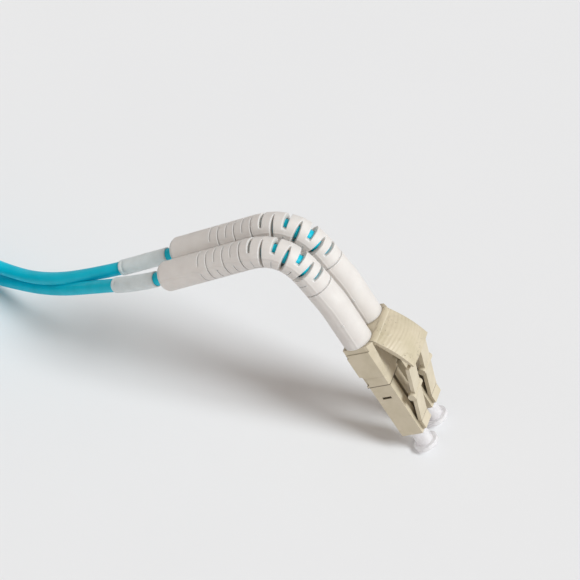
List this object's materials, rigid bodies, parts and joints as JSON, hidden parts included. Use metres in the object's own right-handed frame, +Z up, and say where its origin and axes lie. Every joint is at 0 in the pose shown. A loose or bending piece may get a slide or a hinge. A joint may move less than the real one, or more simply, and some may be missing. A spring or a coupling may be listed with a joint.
{
  "type": "duplex fibre connector on two cords",
  "caption": "Duplex small-form fibre connector with latches, a press trigger, dust caps and slotted angled boots, on two round cords.",
  "frame": {"origin": "middle of the box of the connector and its boots, on the surface that it stands on", "axes": "+X from the cord end of the boots towards the nose, +Y from the near plug to the far plug, +Z up"},
  "size_m": [0.1417, 0.0282, 0.0423],
  "materials": {
    "housing_plastic": "moulded beige polymer",
    "ceramic": "ground zirconia",
    "nickel": "nickel plated brass",
    "spring_steel": "drawn stainless wire",
    "crimp_metal": "crimped soft brass",
    "tube_plastic": "extruded inner tube",
    "clear_cap": "clear soft polymer",
    "boot_plastic": "white flexible elastomer",
    "cord_jacket": "aqua extruded jacket",
    "label_plastic": "printed white sleeve, left bare",
    "tie_fabric": "woven hook and loop strap"
  },
  "bodies": {
    "connector": {"duplex_clip": "housing_plastic", "near_plug_housing": "housing_plastic", "near_ferrule_spring": "spring_steel", "near_rear_body": "housing_plastic", "near_crimp_sleeve": "crimp_metal", "near_fibre_tube": "tube_plastic", "near_boot": "boot_plastic", "near_held_cord": "cord_jacket", "near_cord": "cord_jacket", "near_label_sleeve": "label_plastic", "far_plug_housing": "housing_plastic", "far_ferrule_spring": "spring_steel", "far_rear_body": "housing_plastic", "far_crimp_sleeve": "crimp_metal", "far_fibre_tube": "tube_plastic", "far_boot": "boot_plastic", "far_held_cord": "cord_jacket", "far_cord": "cord_jacket", "far_label_sleeve": "label_plastic", "cord_hank": "cord_jacket", "hank_tie": "tie_fabric"},
    "trigger": {"trigger": "housing_plastic"},
    "near_latch": {"near_latch_arm": "housing_plastic"},
    "near_ferrule": {"near_ferrule": "ceramic", "near_ferrule_flange": "nickel"},
    "near_cap": {"near_dust_cap": "clear_cap"},
    "far_latch": {"far_latch_arm": "housing_plastic"},
    "far_ferrule": {"far_ferrule": "ceramic", "far_ferrule_flange": "nickel"},
    "far_cap": {"far_dust_cap": "clear_cap"}
  },
  "joints": [
    {"name": "trigger_press", "type": "hinge", "parent": "connector", "child": "trigger", "pos_m": [0.01339, 0, 0.02431], "axis": [0, 1, 0], "range_deg": [0, 16], "stiffness_Nm_per_rad": 0.08},
    {"name": "near_latch_flex", "type": "hinge", "parent": "connector", "child": "near_latch", "pos_m": [0.02236, -0.00313, 0.00859], "axis": [0, 1, 0], "range_deg": [-9.14, 0]},
    {"name": "near_ferrule_float", "type": "slide", "parent": "connector", "child": "near_ferrule", "axis": [0.5105, 0, -0.8599], "range_m": [-0.0007, 0], "stiffness_N_per_m": 1000, "springref_m": 0.005, "deforming": ["near_ferrule_spring"]},
    {"name": "near_cap_pull", "type": "slide", "parent": "connector", "child": "near_cap", "axis": [0.5105, 0, -0.8599], "range_m": [0, 0.008]},
    {"name": "far_latch_flex", "type": "hinge", "parent": "connector", "child": "far_latch", "pos_m": [0.02236, 0.00313, 0.00859], "axis": [0, 1, 0], "range_deg": [-9.14, 0]},
    {"name": "far_ferrule_float", "type": "slide", "parent": "connector", "child": "far_ferrule", "axis": [0.5105, 0, -0.8599], "range_m": [-0.0007, 0], "stiffness_N_per_m": 1000, "springref_m": 0.005, "deforming": ["far_ferrule_spring"]},
    {"name": "far_cap_pull", "type": "slide", "parent": "connector", "child": "far_cap", "axis": [0.5105, 0, -0.8599], "range_m": [0, 0.008]}
  ],
  "couplings": [
    {"joint": "near_latch_flex", "follows": "trigger_press", "ratio": -0.5652},
    {"joint": "far_latch_flex", "follows": "trigger_press", "ratio": -0.5652}
  ]
}
